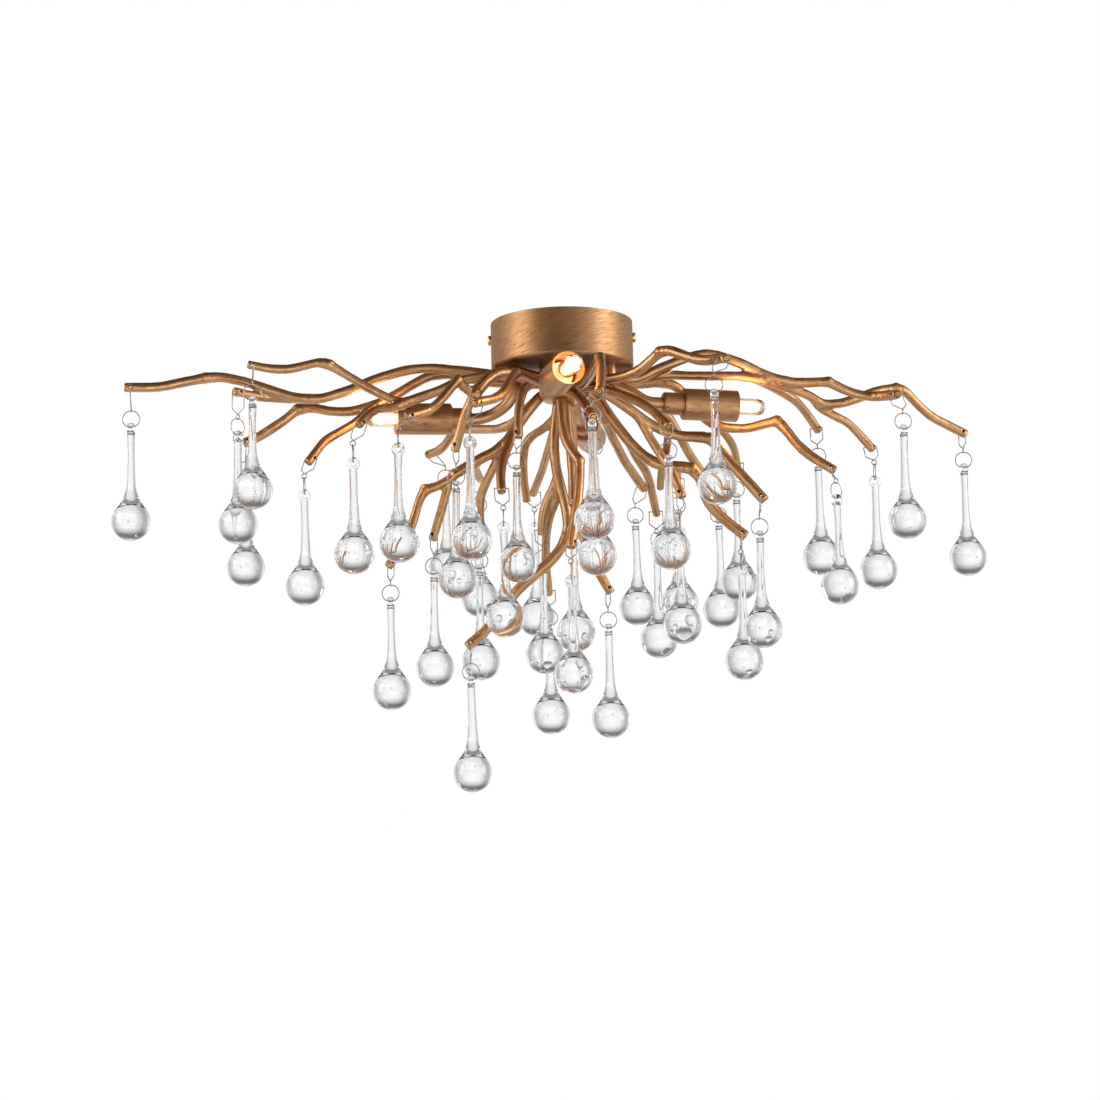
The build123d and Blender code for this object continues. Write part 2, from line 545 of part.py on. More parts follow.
def make_drop(ball, ring_up, yaw):
    # Up from the ball's centre, turned so that the eye's hole runs along the ring's wire
    wire_z = ring_up - RING_R
    hole_z = wire_z + RING_WIRE_R + HANG_GAP - EYE_HOLE_R
    eye_z = hole_z - 0.7
    shoulder = math.radians(SHOULDER_ANGLE)
    side = (BALL_R * math.cos(shoulder), BALL_R * math.sin(shoulder))
    outline = Polyline((0, eye_z), (0, -BALL_R))
    outline += ThreePointArc((0, -BALL_R), (BALL_R, 0), side)
    outline += Line(side, (BAND_R, BAND_UP))
    outline += ThreePointArc((BAND_R, BAND_UP), (THROAT_R, THROAT_UP), (NECK_R, NECK_UP))
    outline += Polyline((NECK_R, NECK_UP), (NECK_TOP_R, eye_z), (0, eye_z))
    body = revolve(Plane.XZ * make_face(outline), Axis.Z)
    eye = Pos(0, 0, eye_z) * Rot(0, 90, 0) * Cylinder(EYE_R, EYE_T)
    eye = fillet(eye.edges().filter_by(GeomType.CIRCLE), EYE_EDGE_R)
    body += eye
    hole = Pos(0, 0, hole_z) * Rot(0, 90, 0) * Cylinder(EYE_HOLE_R, 2 * EYE_T)
    body -= hole
    flare_l = EYE_T / 2 - 0.6
    for end, tilt in ((1, 90), (-1, -90)):
        cone = Cone(EYE_HOLE_R, EYE_FLARE_R, flare_l)
        body -= Pos(end * (0.6 + flare_l / 2), 0, hole_z) * Rot(0, tilt, 0) * cone
    return Pos(*ball) * Rot(0, 0, yaw) * body


def make_clip(centre, across, ball, ring_up, yaw):
    # A house-shaped wire through the tip's hole, ending in a loop that holds the ring
    seat = centre - Vector(0, 0, TIP_HOLE_R - CLIP_WIRE_R - WIRE_PLAY)
    top = ring_centre(ball, ring_up) + Vector(0, 0, RING_R)
    loop = top + Vector(0, 0, CLIP_LOOP_R - CLIP_WIRE_R - RING_WIRE_R - WIRE_PLAY)
    apex = loop + Vector(0, 0, CLIP_LOOP_R)
    lean = Vector(apex.X - seat.X, apex.Y - seat.Y, 0)
    half = across * CLIP_HALF_W
    elbow = seat + lean * 0.5 - Vector(0, 0, CLIP_ELBOW * (seat.Z - apex.Z))
    corners = [seat + half, elbow + half, apex, elbow - half, seat - half]
    wire = FilletPolyline(*corners, radius=[CLIP_ELBOW_R, 2 * CLIP_WIRE_R, CLIP_ELBOW_R])
    frame_wire = sweep(Plane(origin=wire @ 0, z_dir=wire % 0) * Circle(CLIP_WIRE_R), path=wire)
    house = frame_wire + cylinder_between(seat - half, seat + half, CLIP_WIRE_R)
    for end in (seat - half, seat + half):
        house += Pos(*end) * Sphere(CLIP_WIRE_R)
    return house + ring(loop, yawed(yaw), CLIP_LOOP_R, CLIP_WIRE_R)


def export(shape, name):
    export_step(solids_of(shape), f"parts/{name}.step")


def main():
    os.makedirs("parts", exist_ok=True)
    export(make_canopy(), "canopy")
    export(make_bracket(), "ceiling_bracket")
    export(make_screws(), "brass_screws")
    export(make_hub(), "hub")
    export(make_nipple(), "hub_nipple")
    export(make_nuts(), "canopy_nuts")
    export(make_terminal_block(), "terminal_block")
    export(make_leads(), "lamp_leads")

    planes = [lamp_plane(mouth, heading, tilt) for _, mouth, heading, tilt, _ in LAMPS]
    export(Compound(children=[plane * make_cup() for plane in planes]), "lamp_cups")
    export(Compound(children=[plane * make_collar() for plane in planes]), "cup_collars")
    export(Compound(children=[plane * make_holder() for plane in planes]), "lamp_holders")
    export(Compound(children=[plane * make_bulb() for plane in planes]), "bulbs")
    arms = [make_arm(plane, lamp[4]) for plane, lamp in zip(planes, LAMPS)]
    export(Compound(children=arms), "lamp_arms")

    # A later cluster is cut where it meets the core and what is already welded to it
    welded = [hub_blank()]
    for name, rods in CLUSTERS.items():
        cluster = make_cluster(name, rods)
        for earlier in welded:
            cluster -= earlier
        export(cluster, name)
        welded.append(cluster)

    holes = {}
    for rods in CLUSTERS.values():
        for _, _, drop, route in rods:
            if drop:
                holes[drop] = tip_hole(route, drop)
    clips = []
    rings = []
    for number, ball, ring_up, yaw in DROPS:
        centre, across = holes[number]
        clips.append(make_clip(centre, across, ball, ring_up, yaw))
        normal = yawed(yaw + 90)
        rings.append(ring(ring_centre(ball, ring_up), normal, RING_R, RING_WIRE_R))
        export(make_drop(ball, ring_up, yaw), f"drop_{number:02d}")
    export(Compound(children=clips), "wire_clips")
    export(Compound(children=rings), "drop_rings")


main()
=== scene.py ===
import json
import math
import random

import bmesh
import bpy
import numpy as np
from mathutils import Matrix, Vector, noise


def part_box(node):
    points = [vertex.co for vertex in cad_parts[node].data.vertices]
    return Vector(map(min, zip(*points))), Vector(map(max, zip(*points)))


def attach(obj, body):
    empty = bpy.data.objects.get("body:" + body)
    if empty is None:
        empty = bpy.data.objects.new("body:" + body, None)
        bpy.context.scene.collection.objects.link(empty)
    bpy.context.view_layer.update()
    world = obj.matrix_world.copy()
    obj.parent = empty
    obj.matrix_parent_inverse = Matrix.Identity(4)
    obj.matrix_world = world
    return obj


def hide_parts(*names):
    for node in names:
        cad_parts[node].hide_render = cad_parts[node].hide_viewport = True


# Looks of a flush mount ceiling light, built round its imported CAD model. Metres, +Z up,
# the origin at the centre of the ceiling face, and the front towards -Y.
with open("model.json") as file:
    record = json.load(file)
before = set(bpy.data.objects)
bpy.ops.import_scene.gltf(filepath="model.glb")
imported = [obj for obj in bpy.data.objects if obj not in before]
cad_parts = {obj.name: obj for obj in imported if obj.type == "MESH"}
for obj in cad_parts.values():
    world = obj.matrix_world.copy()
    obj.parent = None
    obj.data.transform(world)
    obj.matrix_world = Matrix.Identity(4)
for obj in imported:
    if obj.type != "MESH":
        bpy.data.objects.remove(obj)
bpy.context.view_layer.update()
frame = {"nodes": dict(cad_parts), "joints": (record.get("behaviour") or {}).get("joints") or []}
nodes = frame["nodes"]
scene = bpy.context.scene
MM = 0.001

# Camera, at the photograph's viewing angle
LENS_MM = 92.95
SENSOR_MM = 36.0
PITCH = math.radians(9.72)
ROLL = math.radians(1.3)
CAMERA_AT = Vector((-0.014, -2.3375, -0.594))

# Twigs: their skin, their knuckles, and what is cut into them
WELD_DISTANCE = 0.002 * MM
VOXEL = 1.1 * MM
SMOOTH_ROUNDS = 5
SWELL = 0.38 * MM
SWELL_SCALE = 48.0
DENT = 0.13 * MM
DENT_SCALE = 210.0
HOLE_R = 1.45 * MM
HOLE_DROP = 0.95 * MM
HOLE_LENGTH = 13.0 * MM
KNUCKLE_SWELL = 0.5 * MM
KNUCKLE_PITS = 0.42 * MM
KNUCKLE_PIT_SCALE = 330.0
ROD_RADII = (3.0 * MM, 5.2 * MM)
KNUCKLE_REACH = 1.2
KNUCKLE_FADE = 1.35
KNUCKLE_FADE_END = 2.6
LEAST_FACE_POINTS = 8
ROUND_SHARE = 0.9
FLAT = 0.03 * MM
SPHERE_AGREEMENT = 0.97
KEPT_SHARE = 0.98
GROOVE = (0.52, 0.70)
GROOVE_STEPS = 24
PEG_SIDES = 20
GROOVE_DEPTH = 0.5 * MM
PUNCH_R = 0.5 * MM

# Glass drop, measured up from the centre of its ball
BALL_R = 16.0 * MM
SHOULDER_ANGLE = 40.0
OUTLINE = [(7.2, 17.4), (5.3, 22.5), (4.5, 27.0), (3.9, 34.0), (3.5, 44.0), (3.2, 56.0),
           (3.3, 66.0)]
RING_R = 7.05 * MM
WIRE_R = 0.45 * MM
HANG_GAP = 0.25 * MM
EYE_HOLE_R = 1.9 * MM
EYE_WALL_R = 1.65 * MM
EYE_HALF_T = 3.1 * MM
STRETCH_FROM = 36.0 * MM
STRETCH_TO = 66.0 * MM
TEMPLATE_RING_UP = 84.0 * MM
TURNS = 64
BALL_STEPS = 30
EYE_STEPS = 48
EYE_SECTION = 28
EYE_FOOT = 0.7 * MM
EYE_LEAN = 0.18
BUBBLE_COUNTS = (2, 5)
BUBBLE_REACH = (0.15, 0.8)
BUBBLE_RADII = (0.25 * MM, 0.75 * MM)
SLIMNESS = (0.86, 1.04)
SWAY = (0.2, 0.7)
NECK_FROM = 22 * MM
NECK_FADE_IN = 8 * MM
NECK_TO = 68 * MM
NECK_FADE_OUT = 6 * MM
SWAY_LENGTH = 70 * MM

# Lamps: name, centre of the cup's mouth, heading and downward tilt
LAMPS = [
    ("left", (-0.141, -0.006, -0.080), 192.0, 1.0),
    ("right", (0.146, 0.007, -0.073), 12.0, 1.0),
    ("front", (0.004, -0.140, -0.071), 284.0, 0.5),
    ("rear", (0.025, 0.143, -0.069), 82.0, 1.0),
]
HOLDER_TOP = -26.0 * MM
BULB_R = 7.0 * MM
BULB_L = 52.0 * MM
BURNER_L = 29.0 * MM
BULB_LIGHT = 0.20
COIL_TURNS = 4
COIL_R = 3.0 * MM
COIL_L = 5.0 * MM
COIL_STEPS = 14
COIL_WIRE_R = 0.45 * MM
BULB_WALL = 0.8 * MM
BULB_SIDES = 40
BURNER_FROM = HOLDER_TOP + 12 * MM
BURNER_R = 4.2 * MM
BURNER_SIDES = 32
POST_APART = 2.2 * MM
POST_R = 0.35 * MM
PIN_APART = 4.5 * MM
PIN_R = 0.6 * MM


# Shader helpers

def plug(tree, socket, value):
    if isinstance(value, bpy.types.NodeSocket):
        tree.links.new(value, socket)
    else:
        socket.default_value = value


def add(tree, kind, inputs=None, **settings):
    node = tree.nodes.new("ShaderNode" + kind)
    for key, value in settings.items():
        setattr(node, key, value)
    for key, value in (inputs or {}).items():
        plug(tree, node.inputs[key], value)
    return node


def math_of(tree, operation, *values):
    inputs = {number: value for number, value in enumerate(values)}
    return add(tree, "Math", inputs, operation=operation).outputs["Value"]


def ramp(tree, factor, stops):
    node = add(tree, "ValToRGB", {"Fac": factor})
    elements = node.color_ramp.elements
    while len(elements) < len(stops):
        elements.new(1.0)
    for element, (position, shade) in zip(elements, stops):
        element.position = position
        colour = shade if isinstance(shade, tuple) else (shade, shade, shade)
        element.color = (*colour, 1.0)
    return node.outputs["Color"]


def mixed(tree, factor, a, b, blend="MIX"):
    node = add(tree, "Mix", data_type="RGBA", blend_type=blend)
    plug(tree, node.inputs[0], factor)
    plug(tree, node.inputs[6], a)
    plug(tree, node.inputs[7], b)
    return node.outputs[2]


def noise_of(tree, vector, scale, detail=3.0, roughness=0.55, w=None):
    inputs = {"Vector": vector, "Scale": scale, "Detail": detail, "Roughness": roughness}
    if w is None:
        return add(tree, "TexNoise", inputs).outputs["Fac"]
    node = add(tree, "TexNoise", None, noise_dimensions="4D")
    inputs["W"] = w
    for key, value in inputs.items():
        plug(tree, node.inputs[key], value)
    return node.outputs["Fac"]


def bump_of(tree, height, distance, strength=1.0):
    inputs = {"Height": height, "Distance": distance, "Strength": strength}
    return add(tree, "Bump", inputs).outputs["Normal"]


def new_look(name):
    material = bpy.data.materials.new(name)
    material.use_nodes = True
    tree = material.node_tree
    tree.nodes.clear()
    shader = tree.nodes.new("ShaderNodeBsdfPrincipled")
    out = tree.nodes.new("ShaderNodeOutputMaterial")
    tree.links.new(shader.outputs["BSDF"], out.inputs["Surface"])
    return material, tree, shader


def object_place(tree):
    return add(tree, "TexCoord").outputs["Object"]


# Looks

BRONZE_DARK = (0.17, 0.066, 0.020)
BRONZE_MID = (0.53, 0.280, 0.122)
BRONZE_LIGHT = (0.78, 0.490, 0.265)
# Painted shade: the bronze of the drum and of the cups is darkened by these factors, the drum's
# most
DRUM_PAINTED_SHADE = 0.66
CUP_PAINTED_SHADE = 0.86


def rod_look():
    # Brushed streaks that run along each rod: the noise turns with the surface round the rod
    # and changes slowly with the distance from the core
    material, tree, shader = new_look("bronze_rod_look")
    place = object_place(tree)
    facing = add(tree, "NewGeometry").outputs["Normal"]
    reach = add(tree, "VectorMath", {0: place}, operation="LENGTH").outputs["Value"]
    along = math_of(tree, "MULTIPLY", reach, 7.0)
    streaks = noise_of(tree, facing, 4.2, 4.0, 0.6, along)
    patches = noise_of(tree, place, 70.0, 2.0)
    specks = noise_of(tree, place, 900.0, 2.0)
    base = ramp(tree, streaks, [(0.33, BRONZE_DARK), (0.44, BRONZE_MID), (0.70, BRONZE_LIGHT)])
    patchy = ramp(tree, patches, [(0.30, 0.80), (0.65, 1.0)])
    base = mixed(tree, 1.0, base, patchy, "MULTIPLY")
    speckled = ramp(tree, specks, [(0.30, 0.50), (0.42, 1.0)])
    base = mixed(tree, 0.5, base, speckled, "MULTIPLY")
    plug(tree, shader.inputs["Base Color"], base)
    shader.inputs["Metallic"].default_value = 1.0
    rough = add(tree, "MapRange", {"Value": streaks, "To Min": 0.50, "To Max": 0.28})
    plug(tree, shader.inputs["Roughness"], rough.outputs["Result"])
    plug(tree, shader.inputs["Normal"], bump_of(tree, streaks, 0.10 * MM, 0.5))
    return material


MARK_SLANT = math.radians(-17)
MARK_SCALE = (80, 640, 300)


def sheet_look(name, drum):
    # Slanted brush marks. On the drum they lie on its unrolled side
    material, tree, shader = new_look(name)
    place = object_place(tree)
    if drum:
        parts = add(tree, "SeparateXYZ", {0: place})
        minus_y = math_of(tree, "MULTIPLY", parts.outputs["Y"], -1.0)
        turn = math_of(tree, "ARCTAN2", parts.outputs["X"], minus_y)
        unrolled = math_of(tree, "MULTIPLY", turn, 60 * MM)
        place = add(tree, "CombineXYZ", {"X": unrolled, "Y": parts.outputs["Z"]}).outputs["Vector"]
    slanted = add(tree, "Mapping", {"Vector": place, "Rotation": (0.0, 0.0, MARK_SLANT)})
    stretched = add(tree, "Mapping", {"Vector": slanted.outputs["Vector"], "Scale": MARK_SCALE})
    grain = noise_of(tree, stretched.outputs["Vector"], 1.0, 2.0, 0.5)
    marks = noise_of(tree, stretched.outputs["Vector"], 0.72, 2.0, 0.55)
    cloud = noise_of(tree, place, 40.0, 2.0)
    # Painted shade: a darkened copy of the bronze, darkest on the drum
    shade = DRUM_PAINTED_SHADE if drum else CUP_PAINTED_SHADE
    mid, light = [tuple(shade * channel for channel in colour)
                  for colour in (BRONZE_MID, BRONZE_LIGHT)]
    soft_dark = tuple(0.72 * channel for channel in mid)
    soft_light = tuple(0.5 * (one + other) for one, other in zip(mid, light))
    base = ramp(tree, grain, [(0.25, soft_dark), (0.42, mid), (0.75, soft_light)])
    dashes = ramp(tree, marks, [(0.27, 0.10), (0.345, 1.0)])
    base = mixed(tree, 0.85, base, dashes, "MULTIPLY")
    cloudy = ramp(tree, cloud, [(0.35, 0.90), (0.65, 1.0)])
    base = mixed(tree, 1.0, base, cloudy, "MULTIPLY")
    plug(tree, shader.inputs["Base Color"], base)
    shader.inputs["Metallic"].default_value = 1.0
    rough = add(tree, "MapRange", {"Value": grain, "To Min": 0.52, "To Max": 0.33})
    plug(tree, shader.inputs["Roughness"], rough.outputs["Result"])
    plug(tree, shader.inputs["Normal"], bump_of(tree, grain, 0.05 * MM, 0.5))
    return material


def metal_look(name, colour, roughness, worn):
    material, tree, shader = new_look(name)
    place = object_place(tree)
    haze = noise_of(tree, place, 260.0, 3.0)
    dull = tuple(channel * worn for channel in colour)
    base = ramp(tree, haze, [(0.35, dull), (0.60, colour)])
    plug(tree, shader.inputs["Base Color"], base)
    shader.inputs["Metallic"].default_value = 1.0
    rough = add(tree, "MapRange", {"Value": haze, "To Min": roughness + 0.12, "To Max": roughness})
    plug(tree, shader.inputs["Roughness"], rough.outputs["Result"])
    fine = noise_of(tree, place, 1500.0, 2.0)
    plug(tree, shader.inputs["Normal"], bump_of(tree, fine, 0.02 * MM, 0.4))
    return material


def plain_look(name, colour, roughness, grain):
    material, tree, shader = new_look(name)
    place = object_place(tree)
    cloud = noise_of(tree, place, 150.0, 3.0)
    dull = tuple(channel * 0.86 for channel in colour)
    plug(tree, shader.inputs["Base Color"], ramp(tree, cloud, [(0.35, dull), (0.62, colour)]))
    shader.inputs["Roughness"].default_value = roughness
    fine = noise_of(tree, place, grain, 2.0)
    plug(tree, shader.inputs["Normal"], bump_of(tree, fine, 0.04 * MM, 0.5))
    return material


def glass_look(name, tint, wave):
    # Clear glass with a faint hand-made waviness
    material, tree, shader = new_look(name)
    place = object_place(tree)
    waves = noise_of(tree, place, 85.0, 1.0)
    clear = tuple(min(1.0, channel + 0.015) for channel in tint)
    plug(tree, shader.inputs["Base Color"], ramp(tree, waves, [(0.30, tint), (0.70, clear)]))
    shader.inputs["Transmission Weight"].default_value = 1.0
    shader.inputs["Roughness"].default_value = 0.0
    shader.inputs["IOR"].default_value = 1.5
    plug(tree, shader.inputs["Normal"], bump_of(tree, waves, wave, 0.35))
    return material


def glow_look(name, colour, strength):
    material, tree, shader = new_look(name)
    place = object_place(tree)
    hot = noise_of(tree, place, 400.0, 1.0)
    cooler = tuple(channel * 0.8 for channel in colour)
    plug(tree, shader.inputs["Emission Color"], ramp(tree, hot, [(0.3, cooler), (0.7, colour)]))
    shader.inputs["Emission Strength"].default_value = strength
    return material


looks = {
    "rod": rod_look(),
    "drum": sheet_look("bronze_canopy_look", True),
    "cup": sheet_look("bronze_cup_look", False),
    "brass": metal_look("brass_look", (0.83, 0.60, 0.22), 0.20, 0.62),
    "zinc": metal_look("zinc_look", (0.70, 0.70, 0.68), 0.38, 0.75),
    "wire": metal_look("wire_look", (0.42, 0.41, 0.40), 0.22, 0.70),
    "ceramic": plain_look("ceramic_look", (0.86, 0.84, 0.80), 0.55, 900.0),
    "plastic": plain_look("plastic_look", (0.88, 0.88, 0.84), 0.45, 1400.0),
    "silicone": plain_look("silicone_look", (0.74, 0.71, 0.66), 0.60, 1800.0),
    "drop": glass_look("drop_glass_look", (0.965, 0.968, 0.97), 0.10 * MM),
    "bulb": glass_look("bulb_glass_look", (1.0, 0.90, 0.74), 0.03 * MM),
    "burner": glow_look("burner_look", (1.0, 0.92, 0.72), 1.6),
    "coil": glow_look("coil_look", (1.0, 0.50, 0.20), 0.8),
    # Painted shade: the insides of the cross holes, and the rings and punch marks in the cut ends,
    # are coloured almost black
    "bore": plain_look("bore_painted_shade_look", (0.030, 0.016, 0.009), 0.9, 600.0),
}

NODE_LOOKS = {
    "canopy": "drum", "ceiling_bracket": "zinc", "brass_screws": "brass", "hub": "rod",
    "hub_nipple": "zinc", "canopy_nuts": "zinc", "terminal_block": "plastic",
    "lamp_leads": "silicone", "lamp_arms": "rod", "cup_collars": "cup", "lamp_cups": "cup",
    "lamp_holders": "ceramic", "bulbs": "bulb", "wire_clips": "wire", "drop_rings": "wire",
}
CLUSTERS = ["left_boughs", "front_boughs", "right_boughs", "rear_boughs", "centre_boughs"]


def dress(target, look):
    target.data.materials.clear()
    target.data.materials.append(looks[look])


for node_name, node in nodes.items():
    if node_name in NODE_LOOKS:
        dress(node, NODE_LOOKS[node_name])
    elif node_name in CLUSTERS:
        dress(node, "rod")
    else:
        dress(node, "drop")


# Mesh helpers

def link(name, mesh):
    piece = bpy.data.objects.new(name, mesh)
    scene.collection.objects.link(piece)
    return piece


def smooth(mesh):
    mesh.polygons.foreach_set("use_smooth", [True] * len(mesh.polygons))
    mesh.update()


def with_modifiers_applied(piece):
    bpy.context.view_layer.update()
    shown = piece.evaluated_get(bpy.context.evaluated_depsgraph_get())
    mesh = bpy.data.meshes.new_from_object(shown)
    old = piece.data
    piece.modifiers.clear()
    piece.data = mesh
    bpy.data.meshes.remove(old)


def welded_copy(name, source):
    mesh = source.data.copy()
    form = bmesh.new()
    form.from_mesh(mesh)
    bmesh.ops.remove_doubles(form, verts=form.verts, dist=WELD_DISTANCE)
    form.to_mesh(mesh)
    form.free()
    mesh.materials.clear()
    return link(name, mesh)


def lathe(form, outline, turns, inward=False):
    # Closed surface of revolution about Z, from its bottom pole to its top pole
    rows = []
    for radius, height in outline[1:-1]:
        row = []
        for step in range(turns):
            angle = 2 * math.pi * step / turns
            row.append(form.verts.new((radius * math.cos(angle), radius * math.sin(angle), height)))
        rows.append(row)
    bottom = form.verts.new((0, 0, outline[0][1]))
    top = form.verts.new((0, 0, outline[-1][1]))
    faces = []
    for step in range(turns):
        after = (step + 1) % turns
        faces.append((bottom, rows[0][after], rows[0][step]))
        faces.append((top, rows[-1][step], rows[-1][after]))
        for lower, upper in zip(rows, rows[1:]):
            faces.append((lower[step], lower[after], upper[after], upper[step]))
    for corners in faces:
        form.faces.new(corners[::-1] if inward else corners)


def rounded(points, rounds=3):
    # Corner cutting, which keeps both ends
    for _ in range(rounds):
        cut = [points[0]]
        for (ra, za), (rb, zb) in zip(points, points[1:]):
            cut.append((0.75 * ra + 0.25 * rb, 0.75 * za + 0.25 * zb))
            cut.append((0.25 * ra + 0.75 * rb, 0.25 * za + 0.75 * zb))
        cut.append(points[-1])
        points = cut
    return points


# Twigs: each cluster of rods, with a cast skin, marked cut ends and the clips' cross holes

def islands(mesh, weld):
    # Connected groups of vertices, with their normals. Welded they are whole solids, and
    # otherwise single CAD faces
    form = bmesh.new()
    form.from_mesh(mesh)
    if weld:
        bmesh.ops.remove_doubles(form, verts=form.verts, dist=WELD_DISTANCE)
    form.normal_update()
    left = set(form.verts)
    groups = []
    while left:
        queue = [left.pop()]
        group = []
        while queue:
            vertex = queue.pop()
            group.append((*vertex.co, *vertex.normal))
            for edge in vertex.link_edges:
                other = edge.other_vert(vertex)
                if other in left:
                    left.remove(other)
                    queue.append(other)
        groups.append(np.array(group))
    form.free()
    return groups


def cut_ends_and_knuckles(mesh):
    # Flat round CAD faces are cut ends, and faces that fit a sphere are welded knuckles
    ends, knuckles = [], []
    for group in islands(mesh, False):
        if len(group) < LEAST_FACE_POINTS:
            continue
        face, facing = group[:, :3], group[:, 3:]
        centre = face.mean(axis=0)
        axes = np.linalg.svd(face - centre, full_matrices=False)[2]
        if np.abs((face - centre) @ axes[2]).max() < FLAT:
            radii = np.linalg.norm(face - centre, axis=1)
            is_round = radii.min() > ROUND_SHARE * radii.max()
            if is_round and ROD_RADII[0] < radii.max() < ROD_RADII[1]:
                ends.append((Vector(centre), Vector(axes[2]), radii.max()))
            continue
        terms = np.hstack([2 * face, np.ones((len(face), 1))])
        answer = np.linalg.lstsq(terms, (face ** 2).sum(axis=1), rcond=None)[0]
        away = face - answer[:3]
        radii = np.linalg.norm(away, axis=1)
        agree = ((away / radii[:, None]) * facing).sum(axis=1).mean()
        close = np.abs(radii - radii.mean()).max() < FLAT and agree > SPHERE_AGREEMENT
        if close and ROD_RADII[0] < radii.mean() < KNUCKLE_REACH * ROD_RADII[1]:
            knuckles.append((answer[:3], radii.mean()))
    return ends, knuckles


def peg(form, centre, axis, radius, length):
    turn = axis.to_track_quat("Z", "Y").to_matrix().to_4x4()
    bmesh.ops.create_cone(form, cap_ends=True, segments=PEG_SIDES, radius1=radius, radius2=radius,
                          depth=length, matrix=Matrix.Translation(centre) @ turn)


def groove(form, centre, axis, radius):
    # A shallow ring in a cut end, and a punch mark in its middle
    turn = axis.to_track_quat("Z", "Y").to_matrix()
    inner, outer = GROOVE
    rows = []
    for reach, side in ((inner, -1), (inner, 1), (outer, 1), (outer, -1)):
        row = []
        for step in range(GROOVE_STEPS):
            angle = 2 * math.pi * step / GROOVE_STEPS
            local = Vector((reach * radius * math.cos(angle), reach * radius * math.sin(angle),
                            side * GROOVE_DEPTH))
            row.append(form.verts.new(centre + turn @ local))
        rows.append(row)
    for here, after in zip(rows, rows[1:] + rows[:1]):
        for step in range(GROOVE_STEPS):
            other = (step + 1) % GROOVE_STEPS
            form.faces.new((here[step], here[other], after[other], after[step]))
    peg(form, centre, axis, PUNCH_R, 4 * GROOVE_DEPTH)


def clip_seats():
    # A clip's top wire lies in its hole, so the wire gives the hole's place and direction
    seats = []
    for wire in islands(nodes["wire_clips"].data, True):
        top = wire[wire[:, 2] > wire[:, 2].max() - 1.2 * WIRE_R][:, :3]
        middle = (top.min(axis=0) + top.max(axis=0)) / 2
        across = np.linalg.svd(top - middle, full_matrices=False)[2][0]
        centre = Vector((middle[0], middle[1], wire[:, 2].max() - WIRE_R + HOLE_DROP))
        seats.append((centre, Vector(across)))
    return seats


def cutters_for(ends, seats):
    form = bmesh.new()
    for centre, axis, radius in ends:
        groove(form, centre, axis, radius)
    for centre, across in seats:
        peg(form, centre, across, HOLE_R, HOLE_LENGTH)
    bmesh.ops.recalc_face_normals(form, faces=form.faces)
    mesh = bpy.data.meshes.new("cutters")
    form.to_mesh(mesh)
    form.free()
    return link("cutters", mesh)


def cast_skin(mesh, knuckles):
    # Uneven swelling all over, and more of it with small dents at the knuckles
    count = len(mesh.vertices)
    places = np.empty(count * 3)
    facings = np.empty(count * 3)
    mesh.vertices.foreach_get("co", places)
    mesh.vertices.foreach_get("normal", facings)
    places = places.reshape(-1, 3)
    facings = facings.reshape(-1, 3)
    rise = np.empty(count)
    for number, place in enumerate(places):
        spot = Vector(place)
        rise[number] = SWELL * noise.noise(spot * SWELL_SCALE)
        rise[number] += DENT * noise.noise(spot * DENT_SCALE)
    for centre, radius in knuckles:
        away = np.linalg.norm(places - centre, axis=1) / radius
        for number in np.nonzero(away < KNUCKLE_FADE_END)[0]:
            nearness = math.exp(-(away[number] / KNUCKLE_FADE) ** 2)
            pits = noise.noise(Vector(places[number]) * KNUCKLE_PIT_SCALE)
            rise[number] += nearness * (KNUCKLE_SWELL + KNUCKLE_PITS * pits)
    places += facings * rise[:, None]
    mesh.vertices.foreach_set("co", places.ravel())
    mesh.update()


def make_twigs(cluster, seats):
    ends, knuckles = cut_ends_and_knuckles(nodes[cluster].data)
    piece = welded_copy(cluster.replace("boughs", "twigs"), nodes[cluster])
    remesh = piece.modifiers.new("remesh", "REMESH")
    remesh.mode = "VOXEL"
    remesh.voxel_size = VOXEL
    soften = piece.modifiers.new("soften", "SMOOTH")
    soften.factor = 0.5
    soften.iterations = SMOOTH_ROUNDS
    with_modifiers_applied(piece)
    cast_skin(piece.data, knuckles)
    cutters = cutters_for(ends, seats)
    # The cutters' faces carry the near-black bore look, so the holes and end marks they leave get
    # painted shade
    for holder in (piece, cutters):
        dress(holder, "rod")
        holder.data.materials.append(looks["bore"])
    cutters.data.polygons.foreach_set("material_index", [1] * len(cutters.data.polygons))
    uncut = piece.data.copy()
    bore = piece.modifiers.new("bore", "BOOLEAN")
    bore.operation = "DIFFERENCE"
    bore.solver = "EXACT"
    bore.object = cutters
    with_modifiers_applied(piece)
    bpy.data.objects.remove(cutters)
    if len(piece.data.vertices) < KEPT_SHARE * len(uncut.vertices):
        print(cluster, "is left without bores")
        piece.data = uncut
    smooth(piece.data)
    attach(piece, "fixture")
    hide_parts(cluster)
    bored = sum(face.material_index for face in piece.data.polygons)
    print(cluster, len(ends), "ends", len(knuckles), "knuckles", bored, "faces in bores")


seats = clip_seats()
for cluster in CLUSTERS:
    make_twigs(cluster, seats)


# Glass drops

def drop_outline():
    outline = []
    low, high = -90.0, SHOULDER_ANGLE
    for step in range(BALL_STEPS + 1):
        angle = math.radians(low + (high - low) * step / BALL_STEPS)
        outline.append((BALL_R * math.cos(angle), BALL_R * math.sin(angle)))
    hole_z = TEMPLATE_RING_UP - RING_R + WIRE_R + HANG_GAP - EYE_HOLE_R
    top_z = hole_z - EYE_HOLE_R - 0.6 * MM
    neck = [outline[-1]] + [(radius * MM, height * MM) for radius, height in OUTLINE]
    neck += [(3.3 * MM, top_z - 2.0 * MM), (2.6 * MM, top_z), (0.0, top_z)]
    outline[-1:] = rounded(neck)
    return outline, hole_z


